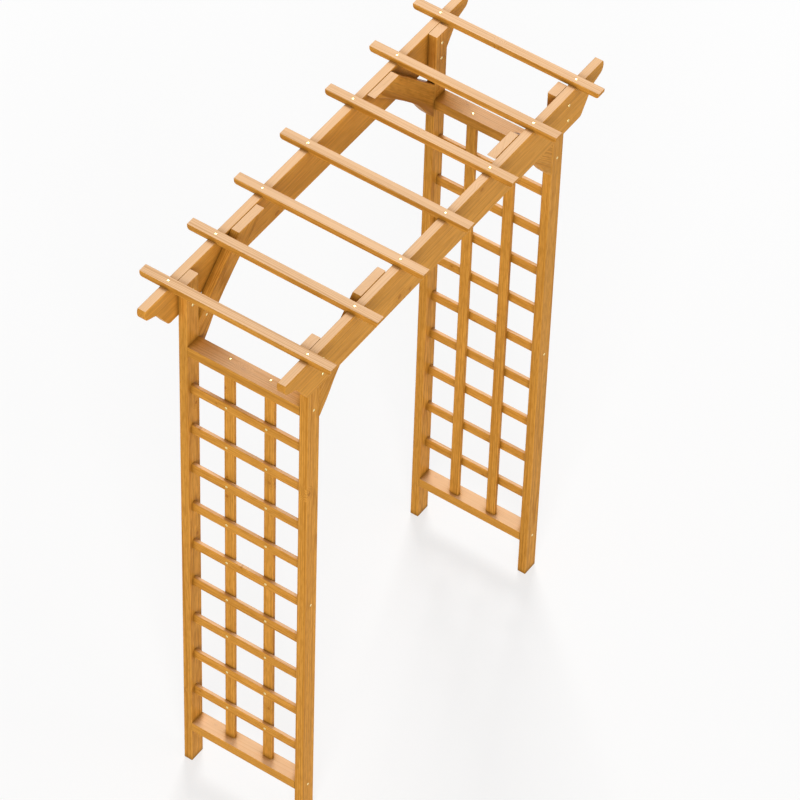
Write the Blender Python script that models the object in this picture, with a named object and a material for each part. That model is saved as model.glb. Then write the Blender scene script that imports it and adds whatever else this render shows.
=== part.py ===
# Wooden garden arch with trellis sides, modelled in metres with +Z up.
# Two ladder-like trellis panels stand left (-X) and right (+X) of a walk-through passage.
# Two shaped beams run across the span, one in front (-Y) and one behind (+Y), and seven
# notched slats lie across them. A shaped brace stiffens each corner between post and beam.
# The origin is on the ground, midway between the four posts.

import math

import bpy
import bmesh
from mathutils import Matrix, Vector
from mathutils.geometry import interpolate_bezier

# Posts
POST_HEIGHT = 2.034
POST_WIDTH = 0.0545
POST_DEPTH = 0.0285
PASSAGE_WIDTH = 1.123
PANEL_OPENING = 0.370

# Beams, with the shaped end measured from its nose and from its top edge
BEAM_THICKNESS = 0.027
BEAM_HEIGHT = 0.1345
BEAM_OVERHANG = 0.1465
NOSE_TOP_EASE = 0.0045
NOSE_BULGE_DROP = 0.015
NOSE_RUN = 0.0134
NOSE_DROP = 0.040
LEDGE_RUN = 0.048
LEDGE_DROP = 0.053
HOLLOW_RUN = 0.014
HOLLOW_DROP = 0.015
TAIL_RUN = 0.018
TAIL_DROP = 0.0125
END_CUT_RUN = 0.116

# Cross slats that lie over the beams
CROSS_SLAT_COUNT = 7
CROSS_SLAT_WIDTH = 0.0315
CROSS_SLAT_THICKNESS = 0.019
CROSS_SLAT_OVERHANG = 0.0707
CROSS_SLAT_POST_OFFSET = 0.0088
CROSS_SLAT_END_RADIUS = 0.011
NOTCH_DEPTH = 0.0055

# Corner braces
BRACE_THICKNESS = 0.0285
BRACE_REACH = 0.3004
BRACE_DROP = 0.309
BRACE_FOOT = 0.128
BRACE_TOP_FLAT = 0.115
BRACE_KNEE_FROM_POST = 0.0622
BRACE_KNEE_ABOVE_END = 0.0844

# Boards that close each panel above and below
BOARD_THICKNESS = 0.035
TOP_BOARD_BELOW_POST_TOP = 0.2417
BOTTOM_BOARD_CLEARANCE = 0.1399

# Trellis rungs and upright slats
RUNG_COUNT = 9
RUNG_HEIGHT = 0.034
RUNG_THICKNESS = 0.012
RUNG_INSET = 0.015
RUNG_TENON = 0.008
SLAT_WIDTH = 0.032
SLAT_THICKNESS = 0.014

# Screws, bolts and dowels, each length taken beyond the piece that is held
SCREW_HEAD_RADIUS = 0.0042
SCREW_HEAD_HEIGHT = 0.0012
SCREW_SHANK_RADIUS = 0.0018
SCREW_POINT = 0.005
BOARD_SCREW_GRIP = 0.022
BRACE_SCREW_WALL = 0.005
BRACE_SCREW_OFFSET = 0.0345
BRACE_SCREW_DROP = 0.041
BOLT_HEAD_RADIUS = 0.0045
BOLT_HEAD_HEIGHT = 0.0016
BOLT_SHANK_RADIUS = 0.0024
BOLT_BELOW_BEAM_TOP = 0.0393
BOLT_ABOVE_BEAM_FOOT = 0.0368
DOWEL_RADIUS = 0.004
DOWEL_LENGTH = 0.018
FOOT_DOWEL_LENGTH = 0.015
DOWEL_CHAMFER = 0.001

# Finish of all edges, and the clearance left wherever two pieces touch
ARRIS = 0.0015
CLEARANCE = 0.0003

# Where the two dowels stand along the brace, as shares of its reach
DOWEL_PLACES = (0.23, 0.46)

# How finely the curves are divided
CURVE_STEPS = 7
TURNED_SIDES = 16
HOLE_SIDES = 12

# Width of a round head's flat crown, as a share of the head
HEAD_CROWN = 0.72

# Sizes that follow from the ones above
postInner = PASSAGE_WIDTH / 2
postOuter = postInner + POST_WIDTH
postCentre = postInner + POST_WIDTH / 2
frameInner = PANEL_OPENING / 2
frameOuter = frameInner + POST_DEPTH
beamInner = frameOuter + CLEARANCE
beamOuter = beamInner + BEAM_THICKNESS
beamCentre = beamInner + BEAM_THICKNESS / 2
beamFoot = POST_HEIGHT - BEAM_HEIGHT
noseTip = postOuter + BEAM_OVERHANG
topBoardTop = POST_HEIGHT - TOP_BOARD_BELOW_POST_TOP
topBoardFoot = topBoardTop - BOARD_THICKNESS
bottomBoardTop = BOTTOM_BOARD_CLEARANCE + BOARD_THICKNESS
rungOuter = postOuter - RUNG_INSET
rungInner = rungOuter - RUNG_THICKNESS
rungCentre = rungOuter - RUNG_THICKNESS / 2
slatOuter = rungInner - CLEARANCE
slatCentre = slatOuter - SLAT_THICKNESS / 2
rungGap = (topBoardFoot - bottomBoardTop - RUNG_COUNT * RUNG_HEIGHT) / (RUNG_COUNT + 1)
rungPitch = rungGap + RUNG_HEIGHT
rungHeights = [topBoardFoot - rungGap - RUNG_HEIGHT / 2 - i * rungPitch for i in range(RUNG_COUNT)]
slatGap = (PANEL_OPENING - 2 * SLAT_WIDTH) / 3
slatPlace = (slatGap + SLAT_WIDTH) / 2
outerCross = postOuter + CROSS_SLAT_POST_OFFSET + CROSS_SLAT_WIDTH / 2
crossPitch = 2 * outerCross / (CROSS_SLAT_COUNT - 1)
crossPlaces = [-outerCross + i * crossPitch for i in range(CROSS_SLAT_COUNT)]
crossLength = 2 * (beamOuter + CROSS_SLAT_OVERHANG)
crossFoot = POST_HEIGHT + CLEARANCE - NOTCH_DEPTH
crossTop = crossFoot + CROSS_SLAT_THICKNESS
braceFace = postInner - CLEARANCE
braceTip = braceFace - BRACE_REACH
braceInner = frameOuter - BRACE_THICKNESS

sides = {"left": -1, "right": 1}
ends = {"front": -1, "rear": 1}
alongX = Vector((1, 0, 0))
alongY = Vector((0, 1, 0))
alongZ = Vector((0, 0, 1))

# Colours as seen on each family of pieces, linear values
toneTop = (0.60, 0.40, 0.24, 1)
tonePost = (0.47, 0.27, 0.13, 1)
toneTrellis = (0.52, 0.31, 0.16, 1)
toneBrace = (0.42, 0.23, 0.10, 1)
toneSteel = (0.72, 0.66, 0.52, 1)

for old in list(bpy.data.objects):
    bpy.data.objects.remove(old, do_unlink=True)

root = bpy.data.objects.new("garden_arch", None)
bpy.context.scene.collection.objects.link(root)

pieces = {}
pendingHoles = {}


# One object from a finished mesh, with its own Principled material
def add_piece(name, bm, place, tone, roughness=0.72, metallic=0.0):
    bmesh.ops.recalc_face_normals(bm, faces=bm.faces)
    mesh = bpy.data.meshes.new(name)
    bm.to_mesh(mesh)
    bm.free()
    piece = bpy.data.objects.new(name, mesh)
    bpy.context.scene.collection.objects.link(piece)
    piece.parent = root
    piece.matrix_world = place if isinstance(place, Matrix) else Matrix.Translation(place)
    material = bpy.data.materials.new(name)
    material.use_nodes = True
    material.diffuse_color = tone
    shader = material.node_tree.nodes["Principled BSDF"]
    shader.inputs["Base Color"].default_value = tone
    shader.inputs["Roughness"].default_value = roughness
    shader.inputs["Metallic"].default_value = metallic
    mesh.materials.append(material)
    mesh.shade_smooth()
    mesh.set_sharp_from_angle(angle=math.radians(35))
    pieces[name] = piece
    pendingHoles[name] = []
    return piece


# A closed outline in the plane of two axes, extruded along the third about its middle
def extruded(outline, across, up, through, thickness):
    bm = bmesh.new()
    corners = [bm.verts.new(across * a + up * b - through * (thickness / 2)) for a, b in outline]
    face = bm.faces.new(corners)
    grown = bmesh.ops.extrude_face_region(bm, geom=[face])
    moved = [part for part in grown["geom"] if isinstance(part, bmesh.types.BMVert)]
    bmesh.ops.translate(bm, verts=moved, vec=through * thickness)
    bmesh.ops.recalc_face_normals(bm, faces=bm.faces)
    return bm


# Chamfers the rims of the two broad faces of an extruded outline
def ease_rims(bm, through):
    rims = [edge for edge in bm.edges
            if abs((edge.verts[0].co - edge.verts[1].co).dot(through)) < 1e-7]
    bmesh.ops.bevel(bm, geom=rims, offset=ARRIS, segments=1, profile=0.5,
                    affect="EDGES", clamp_overlap=True)


# A planed bar: a rectangle with eased corners extruded along its length
def bar(name, across, up, through, width, height, length, place, tone):
    a = width / 2
    b = height / 2
    outline = [(a - ARRIS, b), (-a + ARRIS, b), (-a, b - ARRIS), (-a, -b + ARRIS),
               (-a + ARRIS, -b), (a - ARRIS, -b), (a, -b + ARRIS), (a, b - ARRIS)]
    return add_piece(name, extruded(outline, across, up, through, length), place, tone)


# Rings of a turned profile about +Z, given from top to bottom as radius and height.
# A radius of nought makes a point on the axis.
def turned(bm, profile, count, placing):
    rings = []
    for radius, height in profile:
        if radius == 0:
            rings.append([bm.verts.new(placing @ Vector((0, 0, height)))])
            continue
        ring = []
        for i in range(count):
            turn = 2 * math.pi * (i + 0.5) / count
            point = Vector((radius * math.cos(turn), radius * math.sin(turn), height))
            ring.append(bm.verts.new(placing @ point))
        rings.append(ring)
    for upper, lower in zip(rings, rings[1:]):
        for i in range(count):
            j = (i + 1) % count
            if len(lower) == 1:
                bm.faces.new((upper[i], lower[0], upper[j]))
            else:
                bm.faces.new((upper[i], lower[i], lower[j], upper[j]))
    bm.faces.new(rings[0])
    if len(rings[-1]) > 1:
        bm.faces.new(list(reversed(rings[-1])))


# The frame that carries +Z of a turned piece onto a direction, at a point
def placing_of(point, direction):
    return Matrix.Translation(point) @ direction.normalized().to_track_quat("Z", "Y").to_matrix().to_4x4()


# Cuts closed tool shapes out of a piece, or joins them to it
def combine(piece, bm, operation="DIFFERENCE"):
    bmesh.ops.recalc_face_normals(bm, faces=bm.faces)
    mesh = bpy.data.meshes.new("tool")
    bm.to_mesh(mesh)
    bm.free()
    tool = bpy.data.objects.new("tool", mesh)
    bpy.context.scene.collection.objects.link(tool)
    tool.hide_render = True
    tool.display_type = "WIRE"
    cut = piece.modifiers.new("cut", "BOOLEAN")
    cut.operation = operation
    cut.solver = "EXACT"
    cut.object = tool
    bpy.context.view_layer.update()
    evaluated = piece.evaluated_get(bpy.context.evaluated_depsgraph_get())
    carved = bpy.data.meshes.new_from_object(evaluated)
    piece.modifiers.remove(cut)
    old = piece.data
    piece.data = carved
    carved.name = piece.name
    bpy.data.meshes.remove(old)
    bpy.data.objects.remove(tool, do_unlink=True)
    bpy.data.meshes.remove(mesh)


# A rectangular tool between two corners
def block(bm, low, high):
    middle = [(a + b) / 2 for a, b in zip(low, high)]
    size = [b - a for a, b in zip(low, high)]
    bmesh.ops.create_cube(bm, size=1, matrix=Matrix.Translation(middle) @ Matrix.Diagonal(size + [1]))


# The radius of a drilled hole whose flats clear a shank
def hole_radius(shank):
    return (shank + CLEARANCE) / math.cos(math.pi / HOLE_SIDES)


# A pan-headed screw whose head seats at a point, and its hole through every piece it
# passes
def screw(name, seat, outward, length, through):
    head = CLEARANCE + SCREW_HEAD_HEIGHT
    placing = placing_of(seat, outward)
    profile = [(SCREW_HEAD_RADIUS * HEAD_CROWN, head), (SCREW_HEAD_RADIUS, CLEARANCE * 2),
               (SCREW_HEAD_RADIUS, CLEARANCE), (SCREW_SHANK_RADIUS, CLEARANCE),
               (SCREW_SHANK_RADIUS, -length + SCREW_POINT), (0, -length)]
    bm = bmesh.new()
    turned(bm, profile, TURNED_SIDES, Matrix())
    add_piece(name, bm, placing, toneSteel, 0.35, 0.9)
    drill = hole_radius(SCREW_SHANK_RADIUS)
    for holder in through:
        pendingHoles[holder].append(([(drill, head), (drill, -length - CLEARANCE)], placing))


# Points along a run of Bezier pieces, each given by knot, handle, handle, knot
def curve_points(runs):
    points = []
    for knot, handle, handle2, knot2 in runs:
        sampled = interpolate_bezier(Vector((*knot, 0)), Vector((*handle, 0)),
                                     Vector((*handle2, 0)), Vector((*knot2, 0)), CURVE_STEPS + 1)
        points += [(p.x, p.y) for p in sampled]
    kept = []
    for point in points:
        if not kept or math.dist(point, kept[-1]) > 1e-6:
            kept.append(point)
    return kept


# Posts stand on the ground and reach to the top of the beams. Their faces toward each
# other are mortised for the rungs.
for side, s in sides.items():
    for end, e in ends.items():
        name = "post_" + side + "_" + end
        place = Vector((s * postCentre, e * (frameInner + POST_DEPTH / 2), POST_HEIGHT / 2))
        bar(name, alongX, alongY, alongZ, POST_WIDTH, POST_DEPTH, POST_HEIGHT, place, tonePost)

        mortises = bmesh.new()
        xs = sorted((s * (rungInner - CLEARANCE), s * (rungOuter + CLEARANCE)))
        ys = sorted((e * (frameInner - 2 * ARRIS), e * (frameInner + RUNG_TENON + CLEARANCE)))
        half = RUNG_HEIGHT / 2 + CLEARANCE
        for height in rungHeights:
            block(mortises, (xs[0], ys[0], height - half), (xs[1], ys[1], height + half))
        combine(pieces[name], mortises)

# Beams: a board whose two ends are cut to the same ogee, a rounded nose over a ledge, a
# hollow and a long slope that is rounded into the lower edge.
hollowEnd = (LEDGE_RUN + HOLLOW_RUN, LEDGE_DROP + HOLLOW_DROP)
tailStart = (END_CUT_RUN - TAIL_RUN, BEAM_HEIGHT - TAIL_DROP)
endRuns = [
    ((NOSE_TOP_EASE, 0), (NOSE_TOP_EASE / 3, NOSE_TOP_EASE / 2),
     (0, NOSE_BULGE_DROP / 2), (0, NOSE_BULGE_DROP)),
    ((0, NOSE_BULGE_DROP), (0, NOSE_BULGE_DROP + 0.36 * (NOSE_DROP - NOSE_BULGE_DROP)),
     (NOSE_RUN * 0.37, NOSE_DROP - 0.16 * (NOSE_DROP - NOSE_BULGE_DROP)), (NOSE_RUN, NOSE_DROP)),
    ((LEDGE_RUN, LEDGE_DROP), (LEDGE_RUN + 0.36 * HOLLOW_RUN, LEDGE_DROP + 0.13 * HOLLOW_DROP),
     (LEDGE_RUN + 0.64 * HOLLOW_RUN, LEDGE_DROP + 0.47 * HOLLOW_DROP), hollowEnd),
    (tailStart, (tailStart[0] + 0.19 * TAIL_RUN, tailStart[1] + 0.48 * TAIL_DROP),
     (tailStart[0] + 0.39 * TAIL_RUN, BEAM_HEIGHT), (END_CUT_RUN, BEAM_HEIGHT)),
]
endCurve = curve_points(endRuns)
beamOutline = [(noseTip - run, BEAM_HEIGHT / 2 - drop) for run, drop in endCurve]
beamOutline += [(-a, b) for a, b in reversed(beamOutline)]
for end, e in ends.items():
    bm = extruded(beamOutline, alongX, alongZ, alongY, BEAM_THICKNESS)
    ease_rims(bm, alongY)
    add_piece("beam_" + end, bm, Vector((0, e * beamCentre, POST_HEIGHT - BEAM_HEIGHT / 2)), toneBrace)

# Boards that close the panels, seated between the posts
for side, s in sides.items():
    length = PANEL_OPENING - 2 * CLEARANCE
    for name, top in (("top_board_" + side, topBoardTop), ("bottom_board_" + side, bottomBoardTop)):
        place = Vector((s * postCentre, 0, top - BOARD_THICKNESS / 2))
        bar(name, alongX, alongZ, alongY, POST_WIDTH, BOARD_THICKNESS, length, place, toneTrellis)

# Rungs, tenoned into both posts at the full size of the bar
rungLength = PANEL_OPENING + 2 * RUNG_TENON
for side, s in sides.items():
    for i, height in enumerate(rungHeights):
        name = "rung_" + side + "_" + str(i + 1)
        place = Vector((s * rungCentre, 0, height))
        bar(name, alongX, alongZ, alongY, RUNG_THICKNESS, RUNG_HEIGHT, rungLength, place, toneTrellis)

# Two upright slats to a panel, on the passage side of the rungs, from board to board
slatLength = topBoardFoot - bottomBoardTop - 2 * CLEARANCE
for side, s in sides.items():
    for end, e in ends.items():
        place = Vector((s * slatCentre, e * slatPlace, (topBoardFoot + bottomBoardTop) / 2))
        bar("slat_" + side + "_" + end, alongX, alongY, alongZ,
            SLAT_THICKNESS, SLAT_WIDTH, slatLength, place, toneTrellis)

# Corner braces, flush with the outer faces of the posts. The upper edge leaves the
# beam's top line straight for the post. The lower edge is a hollow arch down to a knee,
# and runs over there into a small swell that ends at the post.
kneeRun = BRACE_REACH - BRACE_KNEE_FROM_POST
kneeDrop = BRACE_DROP - BRACE_KNEE_ABOVE_END
archRun = [(0, 0), (0.16 * kneeRun, 0.09 * kneeDrop), (0.87 * kneeRun, 0.77 * kneeDrop), (kneeRun, kneeDrop)]
swellRun = [(kneeRun, kneeDrop),
            (kneeRun + 0.33 * BRACE_KNEE_FROM_POST, kneeDrop + 0.415 * BRACE_KNEE_ABOVE_END),
            (kneeRun + 0.61 * BRACE_KNEE_FROM_POST, kneeDrop + 0.65 * BRACE_KNEE_ABOVE_END),
            (BRACE_REACH, BRACE_DROP)]
lowerEdge = curve_points([archRun, swellRun])
braceOutline = lowerEdge + [(BRACE_REACH, BRACE_DROP - BRACE_FOOT), (BRACE_TOP_FLAT, 0)]


# Depth of the brace's upper and lower edges below its top, at a distance from its tip
def brace_edges(run):
    slope = (BRACE_DROP - BRACE_FOOT) / (BRACE_REACH - BRACE_TOP_FLAT)
    upper = max(0.0, (run - BRACE_TOP_FLAT) * slope)
    for (a, b), (c, d) in zip(lowerEdge, lowerEdge[1:]):
        if a <= run <= c:
            return upper, b + (d - b) * (run - a) / (c - a)
    return upper, BRACE_DROP


for side, s in sides.items():
    for end, e in ends.items():
        outline = [(s * (a - BRACE_REACH), -b) for a, b in braceOutline]
        bm = extruded(outline, alongX, alongZ, alongY, BRACE_THICKNESS)
        ease_rims(bm, alongY)
        place = Vector((s * braceFace, e * (frameOuter - BRACE_THICKNESS / 2), POST_HEIGHT))
        add_piece("brace_" + side + "_" + end, bm, place, toneBrace)

# Cross slats, notched over the beams and rounded below at both ends. One that lies over
# a post or a brace is notched over that layer too.
half = crossLength / 2
drop = CROSS_SLAT_THICKNESS / 2
radius = min(CROSS_SLAT_END_RADIUS, CROSS_SLAT_THICKNESS - ARRIS)
corner = []
for i in range(CURVE_STEPS):
    turn = math.pi / 2 * i / (CURVE_STEPS - 1)
    corner.append((half - radius + radius * math.cos(turn), -drop + radius - radius * math.sin(turn)))
crossOutline = [(-half, drop), (half, drop)] + corner + [(-a, b) for a, b in reversed(corner)]
for i, x in enumerate(crossPlaces):
    bm = extruded(crossOutline, alongY, alongZ, alongX, CROSS_SLAT_WIDTH)
    ease_rims(bm, alongX)
    piece = add_piece("cross_slat_" + str(i + 1), bm, Vector((x, 0, crossTop - drop)), toneTop)
    reach = abs(x) + CROSS_SLAT_WIDTH / 2
    start = abs(x) - CROSS_SLAT_WIDTH / 2
    overPost = start < postOuter and reach > postInner
    overBrace = start < braceTip + BRACE_TOP_FLAT and reach > braceTip
    inner = min(frameInner, braceInner) if overPost or overBrace else beamInner

    notches = bmesh.new()
    for e in ends.values():
        ys = sorted((e * (inner - CLEARANCE), e * (beamOuter + CLEARANCE)))
        low = (x - CROSS_SLAT_WIDTH, ys[0], crossFoot - NOTCH_DEPTH)
        block(notches, low, (x + CROSS_SLAT_WIDTH, ys[1], crossFoot + NOTCH_DEPTH))
    combine(piece, notches)

# Screws down through the top boards into the ends of the upright slats
for side, s in sides.items():
    for end, e in ends.items():
        seat = Vector((s * slatCentre, e * slatPlace, topBoardTop))
        screw("board_screw_" + side + "_" + end, seat, alongZ, BOARD_THICKNESS + BOARD_SCREW_GRIP,
              ["top_board_" + side, "slat_" + side + "_" + end])

# Two connecting bolts through each beam and post, with a round head at both ends
boltTop = CLEARANCE + BOLT_HEAD_HEIGHT
boltFoot = beamOuter - frameInner + CLEARANCE
boltHeights = {"upper": POST_HEIGHT - BOLT_BELOW_BEAM_TOP, "lower": beamFoot + BOLT_ABOVE_BEAM_FOOT}
for side, s in sides.items():
    for end, e in ends.items():
        for label, height in boltHeights.items():
            placing = placing_of(Vector((s * postCentre, e * beamOuter, height)), alongY * e)
            bm = bmesh.new()
            turned(bm, [(BOLT_HEAD_RADIUS * HEAD_CROWN, boltTop), (BOLT_HEAD_RADIUS, CLEARANCE * 2),
                        (BOLT_HEAD_RADIUS, CLEARANCE), (BOLT_SHANK_RADIUS, CLEARANCE),
                        (BOLT_SHANK_RADIUS, -boltFoot), (BOLT_HEAD_RADIUS, -boltFoot),
                        (BOLT_HEAD_RADIUS, -boltFoot - CLEARANCE),
                        (BOLT_HEAD_RADIUS * HEAD_CROWN, -boltFoot - BOLT_HEAD_HEIGHT)],
                   TURNED_SIDES, Matrix())
            name = "_".join(("joint_bolt", side, end, label))
            add_piece(name, bm, placing, toneSteel, 0.35, 0.9)
            drill = hole_radius(BOLT_SHANK_RADIUS)
            for holder in ("beam_" + end, "post_" + side + "_" + end):
                pendingHoles[holder].append(([(drill, boltTop), (drill, -boltFoot)], placing))

# Three dowels are glued into each brace: two pin its top to the beam, and one its foot to
# the post. A screw across the foot dowel locks it. The screw enters the face that looks
# into the passage, except on the brace right rear, where it enters the outer face.
dowelDrill = hole_radius(DOWEL_RADIUS)
for side, s in sides.items():
    for end, e in ends.items():
        brace = "brace_" + side + "_" + end
        middle = e * (frameOuter - BRACE_THICKNESS / 2)
        dowels = bmesh.new()
        places = []
        for share in DOWEL_PLACES:
            run = share * BRACE_REACH
            upper, lower = brace_edges(run)
            height = POST_HEIGHT - (upper + lower) / 2
            face = Vector((s * (braceTip + run), e * frameOuter, height))
            places.append((placing_of(face, alongY * e), DOWEL_LENGTH, "beam_" + end))
        screwRun = BRACE_REACH - BRACE_SCREW_OFFSET
        height = POST_HEIGHT - brace_edges(screwRun)[0] - BRACE_SCREW_DROP
        foot = placing_of(Vector((s * braceFace, middle, height)), alongX * s)
        places.append((foot, FOOT_DOWEL_LENGTH, "post_" + side + "_" + end))
        for placing, length, holder in places:
            turned(dowels, [(DOWEL_RADIUS - DOWEL_CHAMFER, length), (DOWEL_RADIUS, length - DOWEL_CHAMFER),
                            (DOWEL_RADIUS, -BRACE_THICKNESS / 3)], TURNED_SIDES, placing)
            pendingHoles[holder].append(([(dowelDrill, length + CLEARANCE), (dowelDrill, 0.0)], placing))
        combine(pieces[brace], dowels, "UNION")
        fromOuter = side == "right" and end == "rear"
        depth = frameOuter if fromOuter else braceInner
        seat = Vector((s * (braceTip + screwRun), e * depth, height))
        outward = alongY * (e if fromOuter else -e)
        screw("brace_screw_" + side + "_" + end, seat, outward, BRACE_THICKNESS - BRACE_SCREW_WALL, [brace])

# Drills every piece for the fasteners that pass it
for name, holes in pendingHoles.items():
    if holes:
        drills = bmesh.new()
        for tool, placing in holes:
            turned(drills, tool, HOLE_SIDES, placing)
        combine(pieces[name], drills)

for piece in pieces.values():
    piece.data.shade_smooth()
    piece.data.set_sharp_from_angle(angle=math.radians(35))

total = 0
for name, piece in pieces.items():
    piece.data.calc_loop_triangles()
    total += len(piece.data.loop_triangles)
print("pieces", len(pieces), "triangles", total)
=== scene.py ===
import math

import bpy
import numpy as np
from mathutils import Euler, Matrix, Vector


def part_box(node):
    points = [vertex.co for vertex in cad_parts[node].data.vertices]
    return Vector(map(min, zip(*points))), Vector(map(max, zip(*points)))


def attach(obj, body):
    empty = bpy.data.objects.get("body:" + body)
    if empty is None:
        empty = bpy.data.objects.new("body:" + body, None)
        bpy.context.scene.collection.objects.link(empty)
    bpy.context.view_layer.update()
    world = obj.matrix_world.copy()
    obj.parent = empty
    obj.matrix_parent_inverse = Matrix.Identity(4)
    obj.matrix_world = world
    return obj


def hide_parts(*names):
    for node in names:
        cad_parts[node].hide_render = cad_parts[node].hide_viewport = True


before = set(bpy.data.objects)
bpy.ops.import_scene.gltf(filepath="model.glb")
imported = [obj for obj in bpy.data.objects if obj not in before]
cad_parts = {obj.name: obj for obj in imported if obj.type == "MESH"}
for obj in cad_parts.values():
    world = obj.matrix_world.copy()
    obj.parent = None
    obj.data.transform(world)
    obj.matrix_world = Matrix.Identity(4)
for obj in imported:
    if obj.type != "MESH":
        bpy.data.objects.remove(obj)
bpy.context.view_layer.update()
scene = bpy.context.scene
print("frame loaded:", len(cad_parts), "nodes")


# Camera: found by matching the arch's corners with the photograph

cameraView = {
    "place": (-7.8493, -5.2366, 11.5108),
    "turn": (42.3291, -1.3506, -55.3244),  # degrees about x, y and z
    "lens": 221.90,
    "sensor": 36.0,
    "near": 1.0,
    "far": 80.0,
}

cameraData = bpy.data.cameras.new("archCamera")
cameraData.lens = cameraView["lens"]
cameraData.sensor_width = cameraView["sensor"]
cameraData.clip_start = cameraView["near"]
cameraData.clip_end = cameraView["far"]
camera = bpy.data.objects.new("archCamera", cameraData)
camera.location = cameraView["place"]
camera.rotation_euler = Euler([math.radians(angle) for angle in cameraView["turn"]])
scene.collection.objects.link(camera)
scene.camera = camera
print("camera set")


# Node tools

def node(tree, kind, inputs=(), **settings):
    # One shader node; a value that is a socket is linked, any other is typed in
    made = tree.nodes.new(kind)
    for name, value in settings.items():
        setattr(made, name, value)
    for name, value in dict(inputs).items():
        if isinstance(value, bpy.types.NodeSocket):
            tree.links.new(value, made.inputs[name])
        else:
            made.inputs[name].default_value = value
    return made


def calc(tree, operation, first, second=0.0, third=0.0):
    made = node(tree, "ShaderNodeMath", {0: first, 1: second, 2: third}, operation=operation)
    return made.outputs[0]


def vectorCalc(tree, operation, first, second=(0.0, 0.0, 0.0)):
    made = node(tree, "ShaderNodeVectorMath", {0: first, 1: second}, operation=operation)
    return made.outputs["Value" if operation in ("LENGTH", "DOT_PRODUCT") else "Vector"]


def mixColour(tree, share, first, second, how="MIX"):
    # In the mix node, sockets 0, 6 and 7 are the share and the two colours
    made = node(tree, "ShaderNodeMix", {0: share, 6: first, 7: second}, data_type="RGBA", blend_type=how)
    return made.outputs[2]


def fade(tree, value, start, end, low=0.0, high=1.0):
    # Smooth step: low before start, high after end
    made = node(tree, "ShaderNodeMapRange", {0: value, 1: start, 2: end, 3: low, 4: high},
                interpolation_type="SMOOTHSTEP")
    return made.outputs[0]


def noise(tree, vector, scale, detail, roughness):
    return node(tree, "ShaderNodeTexNoise",
                {"Vector": vector, "Scale": scale, "Detail": detail, "Roughness": roughness})


def openness(tree, reach):
    # 1 in the open, less where other surfaces are within reach
    made = node(tree, "ShaderNodeAmbientOcclusion", {"Distance": reach}, samples=8)
    return made.outputs["AO"]


def newMaterial(name):
    material = bpy.data.materials.new(name)
    material.use_nodes = True
    material.node_tree.nodes.clear()
    return material


# Wood: growth rings round a pith that lies beside each piece, along its grain

woodLook = {
    "early": (0.680, 0.312, 0.052, 1.0),
    "late": (0.385, 0.146, 0.012, 1.0),
    "streak": (0.310, 0.106, 0.007, 1.0),
    "knot": (0.300, 0.080, 0.006, 1.0),
    "endGrain": (0.400, 0.140, 0.014, 1.0),
    # Painted highlight: paler colour along the long edges
    "paintedHighlight": (0.760, 0.380, 0.085, 1.0),
    # Painted sheen: level tops are mixed towards this pale colour in place of the light they reflect
    "paintedSheen": (0.970, 0.650, 0.400, 1.0),
    # Painted shade: dark colour mixed in where timbers meet
    "corner": (0.250, 0.110, 0.010, 1.0),
    "cornerReach": 0.030,
    "sheenShadeReach": 0.250,  # painted sheen is weaker on tops with other timber this near above them
    "roughness": 0.33,
    "specular": 0.020,
    "bump": 0.35,
    "bumpHeight": 0.0005,
}

# Rings and knots: metres, apart from shares and numbers of rings

ringLook = {
    "width": 0.0060,
    "wobble": 0.026,
    "yearScale": 55.0,  # how soon the width changes from ring to ring
    "yearShift": 4.0,  # in rings
    "yearSeed": 5.1,
    "edgeTone": 0.45,
    "tones": ((0.08, 0.04), (0.55, 0.14), (0.90, 1.0)),  # place in the ring, share of late wood
    "knotLength": 1.35,  # along the grain, as a share of its width
    "knotShift": 3.2,  # in rings
}

# Noise patterns along the grain: stretch and shift in x, y and z, then detail and roughness

grainNoise = {
    "bend": {"stretch": (0.9, 5.0, 5.0), "shift": (3.7, 1.3, 0.0), "detail": 3.0, "roughness": 0.5},
    "fibre": {"stretch": (5.0, 330.0, 330.0), "shift": (1.0, 0.0, 0.0), "detail": 3.0, "roughness": 0.6},
    "blotch": {"stretch": (1.6, 10.0, 10.0), "shift": (2.3, 0.0, 1.0), "detail": 3.0, "roughness": 0.5},
    "lines": {"stretch": (1.5, 125.0, 125.0), "shift": (4.1, 1.0, 0.0), "detail": 2.0, "roughness": 0.5},
    "flecks": {"stretch": (26.0, 150.0, 150.0), "shift": (1.0, 1.9, 0.0), "detail": 2.0, "roughness": 0.5},
}

# Where each effect starts and is full, then its share there if that isn't 0 and 1

spans = {
    "knotCore": (1.1, 0.8),  # in knot radii
    "knotHalo": (4.2, 0.7),
    "endFace": (0.55, 0.95),  # how squarely a face cuts the grain
    "ringsOnEnds": (0.45, 0.75, 1.0, 0.30),
    "streaks": (0.50, 0.72),
    "flecks": (0.42, 0.66),
    # level and the sheen spans mask the painted sheen on level tops
    "level": (0.80, 0.97),  # how far a face looks up
    "sheenPatches": (0.30, 0.70, 0.68, 0.82),
    "sheenCorners": (0.50, 0.97, 0.08, 1.0),
    "sheenUnderTimber": (0.55, 0.94),
    "highlightEdge": (0.0030, 0.0004),  # metres from the edge
    "highlightPatches": (0.40, 0.66, 0.08, 0.36),
    "cornerStain": (0.96, 0.42, 0.0, 0.78),
}

# How much each effect adds

amounts = {
    "ringDepth": 1.2,
    "ringDepthLeast": 0.1,
    "streaks": 0.44,
    "flecks": 0.42,
    "fibreShade": 0.72,
    "fibreMiddle": 0.34,
    "blotchShade": 0.34,
    "linesShade": 0.30,
    "knotHalo": 0.22,
    "knotCore": 0.48,
    "endGrain": 0.22,
    "sheenRings": -0.52,
    "ringBump": 0.5,
    "fibreBump": 0.9,
    "fibreGloss": 0.22,
    "endGloss": 0.06,
}

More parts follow.
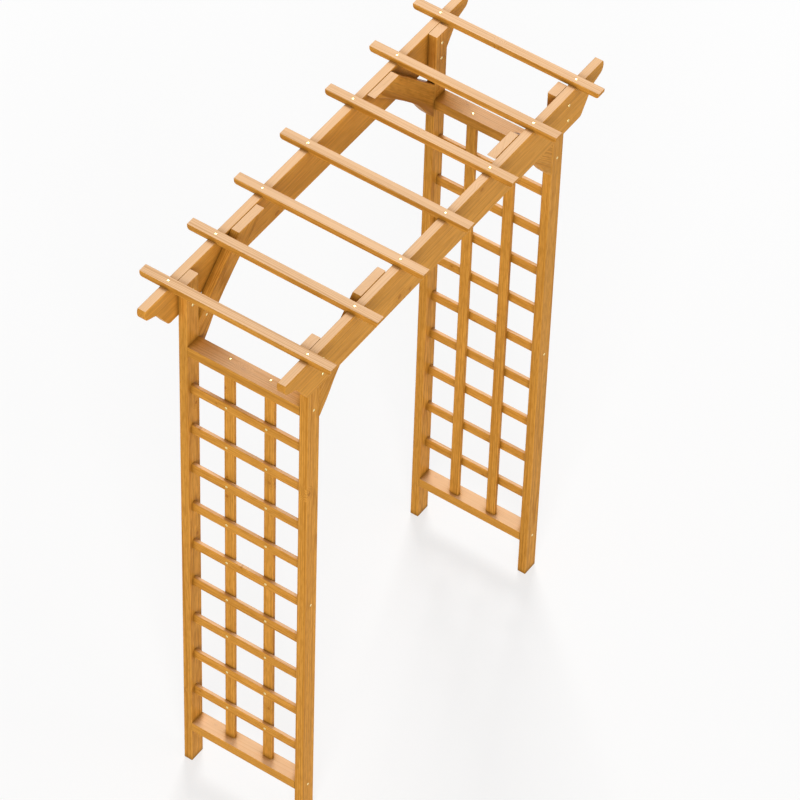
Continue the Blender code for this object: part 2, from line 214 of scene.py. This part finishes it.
grainTurns = {
    "x": Matrix(((1, 0, 0), (0, 1, 0), (0, 0, 1))),
    "y": Matrix(((0, 1, 0), (-1, 0, 0), (0, 0, 1))),
    "z": Matrix(((0, 0, 1), (0, 1, 0), (-1, 0, 0))),
    "rising": Matrix(((0.70, 0, 0.714), (0, 1, 0), (-0.714, 0, 0.70))),
    "falling": Matrix(((-0.70, 0, 0.714), (0, 1, 0), (-0.714, 0, -0.70))),
}


def grainPattern(tree, local, seed, name):
    look = grainNoise[name]
    shift = tuple(seed * part for part in look["shift"])
    place = node(tree, "ShaderNodeMapping", {"Vector": local, "Scale": look["stretch"], "Location": shift})
    return noise(tree, place.outputs[0], 1.0, look["detail"], look["roughness"])


def knotPattern(tree, bent, knots):
    # Distance from each knot's axis, in knot radii, a little longer along the grain;
    # gives the largest core share and the largest halo share of all knots
    core = None
    halo = None
    for along, across, size, through in knots:
        long = 1.0 / (ringLook["knotLength"] * size)
        wide = 1.0 / size
        reach = (long, wide, 0.0) if through == "w" else (long, 0.0, wide)
        middle = (along, across, 0.0) if through == "w" else (along, 0.0, across)
        away = vectorCalc(tree, "MULTIPLY", vectorCalc(tree, "SUBTRACT", bent, middle), reach)
        away = vectorCalc(tree, "LENGTH", away)
        thisCore = fade(tree, away, *spans["knotCore"])
        thisHalo = fade(tree, away, *spans["knotHalo"])
        core = thisCore if core is None else calc(tree, "MAXIMUM", core, thisCore)
        halo = thisHalo if halo is None else calc(tree, "MAXIMUM", halo, thisHalo)
    return core, halo


def ringPattern(tree, bent, pith, tilt, seed, halo):
    # Ring number = distance from the tilted pith line / ring width + noise + shift near knots;
    # its fraction gives the share of dark late wood
    ringPoint = node(tree, "ShaderNodeMapping",
                     {"Vector": bent, "Rotation": (0.0, tilt[1], tilt[0]),
                      "Location": (0.0, -pith[0], -pith[1])}).outputs[0]
    radius = vectorCalc(tree, "LENGTH", vectorCalc(tree, "MULTIPLY", ringPoint, (0.0, 1.0, 1.0)))
    year = calc(tree, "MULTIPLY_ADD", radius, ringLook["yearScale"], seed * ringLook["yearSeed"])
    yearly = node(tree, "ShaderNodeTexNoise", {"W": year, "Scale": 1.0, "Detail": 1.0},
                  noise_dimensions="1D")
    phase = calc(tree, "MULTIPLY_ADD", radius, 1.0 / ringLook["width"],
                 calc(tree, "MULTIPLY", yearly.outputs[0], ringLook["yearShift"]))
    if halo is not None:
        phase = calc(tree, "MULTIPLY_ADD", halo, ringLook["knotShift"], phase)
    ramp = node(tree, "ShaderNodeValToRGB", {"Fac": calc(tree, "FRACT", phase)})
    ramp.color_ramp.interpolation = "EASE"
    stops = ramp.color_ramp.elements
    edge = ringLook["edgeTone"]
    for stop, position in zip(stops, (0.0, 1.0)):
        stop.position = position
        stop.color = (edge, edge, edge, 1.0)
    for position, level in ringLook["tones"]:
        stops.new(position).color = (level, level, level, 1.0)
    return ramp.outputs["Color"]


def woodMaterial(name, nodeName, grain, kind, tone, pith, tilt, seed, knots):
    # Works in the piece's own frame, x along its grain, with its middle at the origin
    material = newMaterial(name)
    tree = material.node_tree
    contrast = kind["contrast"]
    low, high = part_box(nodeName)
    turn = grainTurns[grain]
    centre = (low + high) / 2
    half = (high - low) / 2
    place = node(tree, "ShaderNodeTexCoord")
    local = node(tree, "ShaderNodeMapping",
                 {"Vector": place.outputs["Object"], "Rotation": turn.to_euler(),
                  "Location": -(turn @ centre)}).outputs[0]

    # Rings and knots
    bend = grainPattern(tree, local, seed, "bend")
    bend = vectorCalc(tree, "SUBTRACT", bend.outputs["Color"], (0.5, 0.5, 0.5))
    wobble = ringLook["wobble"] * kind["wave"]
    bent = vectorCalc(tree, "ADD", local, vectorCalc(tree, "MULTIPLY", bend, (0.0, wobble, wobble)))
    core, halo = knotPattern(tree, bent, knots)
    late = ringPattern(tree, bent, pith, tilt, seed, halo)
    facing = calc(tree, "ABSOLUTE", vectorCalc(
        tree, "DOT_PRODUCT", place.outputs["Normal"], tuple(turn[0])))
    cut = fade(tree, facing, *spans["endFace"])
    late = calc(tree, "MULTIPLY", late, fade(tree, facing, *spans["ringsOnEnds"]))

    # Colour from the rings, streaks and flecks
    fibre, blotch, lines, flecks = (
        grainPattern(tree, local, seed, pattern).outputs[0]
        for pattern in ("fibre", "blotch", "lines", "flecks"))
    depth = calc(tree, "MULTIPLY_ADD", blotch, amounts["ringDepth"] * contrast,
                 amounts["ringDepthLeast"] * contrast)
    colour = mixColour(tree, calc(tree, "MULTIPLY", late, depth), woodLook["early"], woodLook["late"])
    streaks = fade(tree, lines, *spans["streaks"], 0.0, amounts["streaks"] * contrast)
    colour = mixColour(tree, streaks, colour, woodLook["streak"])
    speckled = fade(tree, flecks, *spans["flecks"], 0.0, amounts["flecks"] * contrast)
    colour = mixColour(tree, speckled, colour, woodLook["late"])

    # Lighter and darker parts
    shade = calc(tree, "MULTIPLY_ADD", fibre, amounts["fibreShade"], tone - amounts["fibreMiddle"])
    for pattern, amount in ((blotch, amounts["blotchShade"]), (lines, amounts["linesShade"])):
        shade = calc(tree, "ADD", shade, calc(tree, "MULTIPLY_ADD", pattern, amount, -amount / 2))
    grey = node(tree, "ShaderNodeCombineColor", {0: shade, 1: shade, 2: shade}).outputs[0]
    colour = mixColour(tree, 1.0, colour, grey, "MULTIPLY")
    if core is not None:
        colour = mixColour(tree, calc(tree, "MULTIPLY", halo, amounts["knotHalo"]), colour,
                           woodLook["late"])
        colour = mixColour(tree, calc(tree, "MULTIPLY", core, amounts["knotCore"]), colour,
                           woodLook["knot"])
    colour = mixColour(tree, calc(tree, "MULTIPLY", cut, amounts["endGrain"]), colour,
                       woodLook["endGrain"])

    # Painted sheen: level tops are mixed towards a pale colour, less so on dark rings, in corners and
    # under other timber
    upward = node(tree, "ShaderNodeSeparateXYZ", {0: place.outputs["Normal"]}).outputs[2]
    clear = openness(tree, woodLook["cornerReach"])
    sheenShare = calc(tree, "MULTIPLY", fade(tree, upward, *spans["level"]),
               fade(tree, blotch, *spans["sheenPatches"]))
    sheenShare = calc(tree, "MULTIPLY", sheenShare,
               calc(tree, "MULTIPLY_ADD", late, amounts["sheenRings"] * contrast, 1.0))
    sheenShare = calc(tree, "MULTIPLY", sheenShare, fade(tree, clear, *spans["sheenCorners"]))
    if kind["sheenShadedByTimber"]:
        sky = openness(tree, woodLook["sheenShadeReach"])
        sheenShare = calc(tree, "MULTIPLY", sheenShare, fade(tree, sky, *spans["sheenUnderTimber"]))
    colour = mixColour(tree, sheenShare, colour, woodLook["paintedSheen"])

    # Painted highlight along the long edges: distance from the farther of the two faces that meet there
    if kind["highlitEdges"]:
        halfTurned = tuple(sum(abs(turn[row][i]) * half[i] for i in range(3)) for row in range(3))
        apart = vectorCalc(tree, "SUBTRACT", halfTurned, vectorCalc(tree, "ABSOLUTE", local))
        sides = node(tree, "ShaderNodeSeparateXYZ", {0: apart})
        edge = calc(tree, "MAXIMUM", sides.outputs[1], sides.outputs[2])
        edgeHighlight = calc(tree, "MULTIPLY", fade(tree, edge, *spans["highlightEdge"]),
                   fade(tree, blotch, *spans["highlightPatches"]))
        colour = mixColour(tree, edgeHighlight, colour, woodLook["paintedHighlight"])

    # Painted shade: darker where timbers meet and in corners
    colour = mixColour(tree, fade(tree, clear, *spans["cornerStain"]), colour, woodLook["corner"])

    height = calc(tree, "MULTIPLY_ADD", late, amounts["ringBump"],
                  calc(tree, "MULTIPLY", fibre, amounts["fibreBump"]))
    bump = node(tree, "ShaderNodeBump", {"Strength": woodLook["bump"], "Height": height,
                                         "Distance": woodLook["bumpHeight"]})
    gloss = calc(tree, "MULTIPLY_ADD", fibre, amounts["fibreGloss"],
                 woodLook["roughness"] - amounts["fibreGloss"] / 2)
    gloss = calc(tree, "MULTIPLY_ADD", cut, amounts["endGloss"], gloss)
    surface = node(tree, "ShaderNodeBsdfPrincipled",
                   {"Base Color": colour, "Roughness": gloss, "Normal": bump.outputs[0],
                    "Specular IOR Level": woodLook["specular"]})
    node(tree, "ShaderNodeOutputMaterial", {"Surface": surface.outputs[0]})
    return material


# What each kind of timber gets: grain direction, tone, contrast of its figure, how wavy its rings
# are, the pith's distance and side (v beside it, w above or below it), how many knots it may have
# and their radius, whether timber above shades the painted sheen on its top, and whether its long edges
# get a painted highlight

timberKinds = {
    "post": {"grain": "z", "tone": 1.02, "contrast": 0.86, "wave": 1.0, "pith": 0.055, "pithSide": "v",
             "knots": 4, "knotSize": 0.0060, "sheenShadedByTimber": False, "highlitEdges": True},
    "beam": {"grain": "x", "tone": 0.99, "contrast": 0.42, "wave": 1.4, "pith": 0.090, "pithSide": "v",
             "knots": 5, "knotSize": 0.0075, "sheenShadedByTimber": False, "highlitEdges": True},
    # Cross slats get a lower tone: painted shade for the shade on their sides
    "cross_slat": {"grain": "y", "tone": 0.93, "contrast": 0.78, "wave": 1.0, "pith": 0.050,
                   "pithSide": "v", "knots": 1, "knotSize": 0.0045, "sheenShadedByTimber": False, "highlitEdges": True},
    "brace": {"grain": "rising", "tone": 0.98, "contrast": 0.95, "wave": 1.9, "pith": 0.200,
              "pithSide": "v", "knots": 1, "knotSize": 0.0060, "sheenShadedByTimber": False, "highlitEdges": False},
    "top_board": {"grain": "y", "tone": 1.00, "contrast": 0.66, "wave": 1.0, "pith": 0.060,
                  "pithSide": "v", "knots": 1, "knotSize": 0.0050, "sheenShadedByTimber": True, "highlitEdges": True},
    "bottom_board": {"grain": "y", "tone": 1.00, "contrast": 0.36, "wave": 1.0, "pith": 0.060,
                     "pithSide": "v", "knots": 1, "knotSize": 0.0050, "sheenShadedByTimber": False, "highlitEdges": True},
    "rung": {"grain": "y", "tone": 1.06, "contrast": 0.86, "wave": 1.0, "pith": 0.045, "pithSide": "w",
             "knots": 1, "knotSize": 0.0035, "sheenShadedByTimber": False, "highlitEdges": True},
    "slat": {"grain": "z", "tone": 1.04, "contrast": 0.90, "wave": 1.0, "pith": 0.045, "pithSide": "v",
             "knots": 3, "knotSize": 0.0045, "sheenShadedByTimber": False, "highlitEdges": True},
}

# How far each piece's own draw may stray from its kind

timberChance = {
    "firstSeed": 400,
    "knotAlong": 0.46,  # share of the length
    "knotAcross": 0.4,
    "knotSize": (0.6, 1.2),
    "pithAngle": 0.4,
    "pithDistance": (0.7, 1.3),
    "tilt": 0.02,
    "tone": 0.035,
    "seedStep": 1.37,
}


def evenDraw(chance, reach, count=None):
    return chance.uniform(-reach, reach, count)


timberNodes = sorted(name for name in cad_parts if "screw" not in name and "bolt" not in name)
for number, nodeName in enumerate(timberNodes):
    kindName = max((kind for kind in timberKinds if nodeName.startswith(kind + "_")), key=len)
    kind = timberKinds[kindName]
    chance = np.random.default_rng(timberChance["firstSeed"] + number)
    grain = kind["grain"]
    if kindName == "brace" and "right" in nodeName:
        grain = "falling"
    low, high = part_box(nodeName)
    size = np.abs(np.array(grainTurns[grain])) @ np.array(high - low)
    through = "v" if size[1] < size[2] else "w"
    width = size[1] if through == "w" else size[2]
    knots = []
    for count in range(chance.integers(0, kind["knots"] + 1)):
        along = evenDraw(chance, timberChance["knotAlong"]) * size[0]
        across = evenDraw(chance, timberChance["knotAcross"]) * width
        radius = kind["knotSize"] * chance.uniform(*timberChance["knotSize"])
        knots.append((along, across, radius, through))
    angle = (0.0 if kind["pithSide"] == "v" else math.pi / 2) + evenDraw(chance, timberChance["pithAngle"])
    angle += math.pi * chance.integers(0, 2)
    distance = kind["pith"] * chance.uniform(*timberChance["pithDistance"])
    pith = (distance * math.cos(angle), distance * math.sin(angle))
    tilt = evenDraw(chance, timberChance["tilt"], 2)
    tone = kind["tone"] + evenDraw(chance, timberChance["tone"])
    material = woodMaterial("wood_" + nodeName, nodeName, grain, kind, tone, pith, tilt,
                            number * timberChance["seedStep"], knots)
    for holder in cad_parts[nodeName].material_slots:
        holder.material = material
print("timber finished:", len(timberNodes), "pieces")


# Steel of the screws and bolts: zinc plate, a little warm, faintly clouded, with painted shade in the
# drives

steelLook = {
    "bright": (0.96, 0.84, 0.44, 1.0),
    "dull": (0.84, 0.68, 0.30, 1.0),
    "recessShade": (0.52, 0.43, 0.20, 1.0),
    "recessReach": 0.0030,
    "recessFade": (0.80, 0.35),
    "cloud": (900.0, 3.0, 0.6),  # scale, detail and roughness of the noise
    "cloudFade": (0.35, 0.70),
    "cloudGloss": 0.24,
    "spots": (3500.0, 2.0, 0.5),
    "roughness": 0.30,
    "bump": 0.15,
    "bumpHeight": 0.0001,
}


def steelMaterial(name):
    look = steelLook
    material = newMaterial(name)
    tree = material.node_tree
    place = node(tree, "ShaderNodeTexCoord").outputs["Object"]
    cloud = noise(tree, place, *look["cloud"]).outputs[0]
    spots = noise(tree, place, *look["spots"]).outputs[0]
    colour = mixColour(tree, fade(tree, cloud, *look["cloudFade"]), look["bright"], look["dull"])
    # Painted shade: darker in the drives and around the heads' rims
    around = openness(tree, look["recessReach"])
    colour = mixColour(tree, fade(tree, around, *look["recessFade"]), colour, look["recessShade"])
    gloss = calc(tree, "MULTIPLY_ADD", cloud, look["cloudGloss"],
                 look["roughness"] - look["cloudGloss"] / 2)
    bump = node(tree, "ShaderNodeBump", {"Strength": look["bump"], "Distance": look["bumpHeight"],
                                         "Height": spots})
    surface = node(tree, "ShaderNodeBsdfPrincipled",
                   {"Base Color": colour, "Metallic": 1.0, "Roughness": gloss,
                    "Normal": bump.outputs[0]})
    node(tree, "ShaderNodeOutputMaterial", {"Surface": surface.outputs[0]})
    return material


screwSteel = steelMaterial("screwSteel")
boltSteel = steelMaterial("boltSteel")


# Screws and bolts: turned shapes whose drive is sunk into the head

def crossOutline(angles, arm, width):
    # Plus sign: in each direction the farther of the two bars' edges
    across = np.abs(np.cos(angles)) + 1e-9
    up = np.abs(np.sin(angles)) + 1e-9
    return np.maximum(np.minimum(arm / across, width / up), np.minimum(arm / up, width / across))


def hexOutline(angles, flat):
    # Hexagon: half the width across flats / cosine of the angle from the nearest flat's middle
    return flat / np.cos((angles % (math.pi / 3)) - math.pi / 6)


def turnedShape(rows, outline, angles):
    # Ring of radius (share of the outline + plain radius) at each height, with a point at both ends
    rows = np.array(rows, float)
    reach = rows[:, 0:1] * outline[None, :] + rows[:, 1:2]
    rings = np.stack([reach * np.cos(angles), reach * np.sin(angles),
                      np.repeat(rows[:, 2:3], len(angles), 1)], 2)
    points = np.concatenate([rings[0, :1], rings[1:-1].reshape(-1, 3), rings[-1, :1]])
    count = len(rows) - 2
    around = len(angles)
    step = np.arange(around)
    after = (step + 1) % around
    first = 1 + np.arange(count - 1)[:, None] * around
    quads = np.stack([first + step, first + around + step, first + around + after,
                      first + after], 2).reshape(-1, 4)
    last = 1 + (count - 1) * around
    top = np.stack([np.zeros_like(step), 1 + step, 1 + after], 1)
    foot = np.stack([np.full_like(step, len(points) - 1), last + after, last + step], 1)
    return points, quads, np.concatenate([top, foot])


def placedCopies(name, shape, seats, outwards, material):
    # Each copy = seat + across * x + up * y + outward * z, where across and up are square to the
    # outward direction and turned by a drawn spin
    points, quads, triangles = shape
    outwards = np.array(outwards, float)
    helper = np.where(np.abs(outwards[:, 2:3]) > 0.5, (1.0, 0.0, 0.0), (0.0, 0.0, 1.0))
    flat = np.cross(helper, outwards)
    flat /= np.linalg.norm(flat, axis=1)[:, None]
    side = np.cross(outwards, flat)
    turn = spinChance.uniform(0.0, math.pi, len(seats))[:, None]
    across = flat * np.cos(turn) + side * np.sin(turn)
    up = side * np.cos(turn) - flat * np.sin(turn)
    basis = np.stack([across, up, outwards], 1)
    placed = np.einsum("pk,nkj->npj", points, basis) + np.array(seats, float)[:, None, :]
    shift = (np.arange(len(placed)) * len(points))[:, None, None]
    faces = (quads[None] + shift).reshape(-1, 4).tolist()
    faces += (triangles[None] + shift).reshape(-1, 3).tolist()
    mesh = bpy.data.meshes.new(name)
    mesh.from_pydata(placed.reshape(-1, 3).tolist(), [], faces)
    mesh.polygons.foreach_set("use_smooth", np.ones(len(mesh.polygons), bool))
    mesh.set_sharp_from_angle(angle=math.radians(screwLook["sharpAngle"]))
    mesh.materials.append(material)
    mesh.update()
    piece = bpy.data.objects.new(name, mesh)
    scene.collection.objects.link(piece)
    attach(piece, "root")
    return piece


screwLook = {
    "headRadius": 0.0041,
    "crown": 0.0011,
    "shankRadius": 0.0017,
    "length": 0.016,
    "slatHeadRadius": 0.0042,  # of the screws in the cross slats
    "slatLength": 0.018,
    "sourceHeadRadius": 0.0042,  # of the screws that stand for the source's
    "sourceShankRadius": 0.0018,
    "sourceHead": 0.0015,  # how far the source's screw heads stand out
    "armLength": 0.0016,
    "armWidth": 0.00045,
    "driveDepth": 0.0016,
    "driveFoot": 0.35,
    "driveLip": 0.97,  # share of the crown's height
    "crownCurve": ((0.62, 0.90), (0.85, 0.70), (0.97, 0.40)),  # shares of the radius and the height
    "rimAbove": 0.00012,
    "rimBelow": 0.0002,
    "neck": 1.15,
    "coneDepth": 0.75,  # share of the head's radius
    "tipLength": 0.005,
    "around": 32,
    "sharpAngle": 32.0,
    "spinSeed": 77,
}

boltLook = {
    "headRadius": 0.0046,
    "crown": 0.0017,
    "shankRadius": 0.0024,
    "sourceHead": 0.0019,
    "hexFlat": 0.0017,
    "hexDepth": 0.0026,
    "hexLip": 0.98,
    "crownCurve": ((0.62, 0.94), (0.84, 0.74), (0.96, 0.42)),
    "rimAbove": 0.00012,
    "rimBelow": 0.0001,
    "around": 36,
}


def evenAngles(around):
    return np.arange(around) * 2.0 * math.pi / around


def crownRows(look, headRadius):
    # The dome from the drive's edge down to the rim: share of the radius at share of the height
    rows = [(0.0, headRadius * wide, look["crown"] * high) for wide, high in look["crownCurve"]]
    return rows + [(0.0, headRadius, look["rimAbove"]), (0.0, headRadius, -look["rimBelow"])]


def screwShape(headRadius, shankRadius, length):
    # Radius at each height: cross recess, domed crown, rim, cone to the shank, shank, pointed tip
    look = screwLook
    angles = evenAngles(look["around"])
    rows = [
        (0.0, 0.0, -look["driveDepth"]),
        (look["driveFoot"], 0.0, -look["driveDepth"]),
        (1.0, 0.0, look["crown"] * look["driveLip"]),
        *crownRows(look, headRadius),
        (0.0, shankRadius * look["neck"], -headRadius * look["coneDepth"]),
        (0.0, shankRadius, -length + look["tipLength"]),
        (0.0, 0.0, -length),
    ]
    return turnedShape(rows, crossOutline(angles, look["armLength"], look["armWidth"]), angles)


def boltShape(length):
    # Domed head with a hexagon socket, shank, and the same head on the far side of the timber
    look = boltLook
    angles = evenAngles(look["around"])
    floorHeight = look["crown"] - look["hexDepth"]
    half = [
        (0.0, 0.0, floorHeight),
        (1.0, 0.0, floorHeight),
        (1.0, 0.0, look["crown"] * look["hexLip"]),
        *crownRows(look, look["headRadius"]),
        (0.0, look["shankRadius"], -look["rimBelow"]),
    ]
    far = [(share, plain, -length - height) for share, plain, height in reversed(half)]
    return turnedShape(half + far, hexOutline(angles, look["hexFlat"]), angles)


def middleOf(nodeName):
    low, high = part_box(nodeName)
    return [(first + last) / 2 for first, last in zip(low, high)]


def faceOf(nodeName, axis, sign):
    # Where the node's box ends along one axis, on the lower or the upper side
    low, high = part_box(nodeName)
    return low[axis] if sign < 0 else high[axis]


def lengthOf(nodeName, axis):
    return faceOf(nodeName, axis, 1.0) - faceOf(nodeName, axis, -1.0)


sides = {"left": -1.0, "right": 1.0}
ends = {"front": -1.0, "rear": 1.0}
spinChance = np.random.default_rng(screwLook["spinSeed"])

# Small wood screws: on the rungs over each upright slat, on the posts' outer faces at the boards
# and the middle rung, and on the cross slats over each beam

rungSeats = []
rungOutwards = []
postSeats = []
postOutwards = []
for side, sign in sides.items():
    for number in range(1, 10):
        rung = f"rung_{side}_{number}"
        for end in ends:
            across = middleOf(f"slat_{side}_{end}")[1]
            rungSeats.append((faceOf(rung, 0, sign), across, middleOf(rung)[2]))
            rungOutwards.append((sign, 0.0, 0.0))
    for end, outward in ends.items():
        post = f"post_{side}_{end}"
        for level in (f"top_board_{side}", f"rung_{side}_5", f"bottom_board_{side}"):
            postSeats.append((middleOf(post)[0], faceOf(post, 1, outward), middleOf(level)[2]))
            postOutwards.append((0.0, outward, 0.0))

crossSeats = []
for number in range(1, 8):
    slat = f"cross_slat_{number}"
    for end in ends:
        crossSeats.append((middleOf(slat)[0], middleOf("beam_" + end)[1], faceOf(slat, 2, 1.0)))

plainScrew = screwShape(screwLook["headRadius"], screwLook["shankRadius"], screwLook["length"])
slatScrew = screwShape(screwLook["slatHeadRadius"], screwLook["shankRadius"], screwLook["slatLength"])
placedCopies("rung_screws", plainScrew, rungSeats, rungOutwards, screwSteel)
placedCopies("post_screws", plainScrew, postSeats, postOutwards, screwSteel)
placedCopies("cross_slat_screws", slatScrew, crossSeats, [(0.0, 0.0, 1.0)] * len(crossSeats),
             screwSteel)
print("small screws placed:", len(rungSeats) + len(postSeats) + len(crossSeats))

# The source's own screws and bolts, shown again with their drives

boardNames = [f"board_screw_{side}_{end}" for side in sides for end in ends]
boardSeats = []
for name in boardNames:
    boardSeats.append((*middleOf(name)[:2], faceOf(name, 2, 1.0) - screwLook["sourceHead"]))
boardShape = screwShape(screwLook["sourceHeadRadius"], screwLook["sourceShankRadius"],
                        lengthOf(boardNames[0], 2) - screwLook["sourceHead"])
piece = placedCopies("board_screws", boardShape, boardSeats, [(0.0, 0.0, 1.0)] * len(boardNames),
                     screwSteel)
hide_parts(*boardNames)

braceOutwards = {"left_front": 1.0, "left_rear": -1.0, "right_front": 1.0, "right_rear": 1.0}
braceNames = ["brace_screw_" + name for name in braceOutwards]
braceSeats = []
for name, outward in zip(braceNames, braceOutwards.values()):
    middle = middleOf(name)
    head = faceOf(name, 1, outward) - outward * screwLook["sourceHead"]
    braceSeats.append((middle[0], head, middle[2]))
braceShape = screwShape(screwLook["sourceHeadRadius"], screwLook["sourceShankRadius"],
                        lengthOf(braceNames[0], 1) - screwLook["sourceHead"])
piece = placedCopies("brace_screws", braceShape, braceSeats,
                     [(0.0, outward, 0.0) for outward in braceOutwards.values()],
                     screwSteel)
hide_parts(*braceNames)

boltNames = sorted(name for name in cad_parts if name.startswith("joint_bolt"))
boltSeats = []
boltOutwards = []
for name in boltNames:
    outward = ends["front" if "front" in name else "rear"]
    middle = middleOf(name)
    head = faceOf(name, 1, outward) - outward * boltLook["sourceHead"]
    boltSeats.append((middle[0], head, middle[2]))
    boltOutwards.append((0.0, outward, 0.0))
jointBolt = boltShape(lengthOf(boltNames[0], 1) - 2 * boltLook["sourceHead"])
piece = placedCopies("joint_bolts", jointBolt, boltSeats, boltOutwards, boltSteel)
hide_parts(*boltNames)
print("screws and bolts with their drives placed:", len(boardNames) + len(braceNames) + len(boltNames))


# Floor, light and background

stageLook = {
    "floorSize": 60.0,
    "floorColour": (0.66, 0.66, 0.66, 1.0),
    "seenColour": (0.92, 0.92, 0.92, 1.0),
    "white": (1.0, 1.0, 1.0, 1.0),
    "whiteShare": 0.66,
    "whiteFrom": 1.6,  # metres from the middle, where the floor starts to fade to white
    "whiteBy": 6.0,
    "worldLight": 0.25,
}

lamps = {
    "topLamp": {"from": (6.8, 4.4, 10.8), "at": (0.0, 0.0, 1.9), "size": 3.8, "power": 930.0},
    "cornerLamp": {"from": (-16.0, -9.8, 9.0), "at": (0.0, 0.0, 1.1), "size": 11.0, "power": 3080.0},
    "frontLamp": {"from": (1.0, -13.5, 5.6), "at": (0.0, 0.0, 1.1), "size": 9.0, "power": 320.0},
}

for name, lamp in lamps.items():
    data = bpy.data.lights.new(name, "AREA")
    data.shape = "SQUARE"
    data.size = lamp["size"]
    data.energy = lamp["power"]
    holder = bpy.data.objects.new(name, data)
    holder.location = lamp["from"]
    aim = Vector(lamp["at"]) - Vector(lamp["from"])
    holder.rotation_euler = aim.to_track_quat("-Z", "Y").to_euler()
    holder.visible_camera = False
    scene.collection.objects.link(holder)


def seenShare(tree):
    # 1 for what the camera sees, also in a reflection or through glass, and 0 for the light it gives
    path = node(tree, "ShaderNodeLightPath").outputs
    mirrored = calc(tree, "MAXIMUM", path["Is Glossy Ray"], path["Is Transmission Ray"])
    return calc(tree, "MAXIMUM", path["Is Camera Ray"], mirrored)


# The floor takes the arch's shadow. Where it's seen it is part white, and all white far away

floorMaterial = newMaterial("paleFloor")
tree = floorMaterial.node_tree
seen = seenShare(tree)
paint = node(tree, "ShaderNodeBsdfDiffuse",
             {"Color": mixColour(tree, seen, stageLook["floorColour"], stageLook["seenColour"])})
white = node(tree, "ShaderNodeEmission", {"Color": stageLook["white"], "Strength": 1.0})
away = vectorCalc(tree, "LENGTH", node(tree, "ShaderNodeTexCoord").outputs["Object"])
share = fade(tree, away, stageLook["whiteFrom"], stageLook["whiteBy"], stageLook["whiteShare"], 1.0)
blend = node(tree, "ShaderNodeMixShader",
             {0: calc(tree, "MULTIPLY", seen, share), 1: paint.outputs[0], 2: white.outputs[0]})
node(tree, "ShaderNodeOutputMaterial", {"Surface": blend.outputs[0]})
reach = stageLook["floorSize"] / 2
floorMesh = bpy.data.meshes.new("floor")
floorMesh.from_pydata([(-reach, -reach, 0.0), (reach, -reach, 0.0), (reach, reach, 0.0),
                       (-reach, reach, 0.0)], [], [(0, 1, 2, 3)])
floorMesh.materials.append(floorMaterial)
floor = bpy.data.objects.new("floor", floorMesh)
scene.collection.objects.link(floor)

world = bpy.data.worlds.new("studioWorld")
world.use_nodes = True
tree = world.node_tree
tree.nodes.clear()
strength = calc(tree, "MULTIPLY_ADD", seenShare(tree), 1.0 - stageLook["worldLight"],
                stageLook["worldLight"])
light = node(tree, "ShaderNodeBackground", {"Color": stageLook["white"], "Strength": strength})
node(tree, "ShaderNodeOutputWorld", {"Surface": light.outputs[0]})
scene.world = world
scene.view_settings.view_transform = "Standard"
print("stage lit")
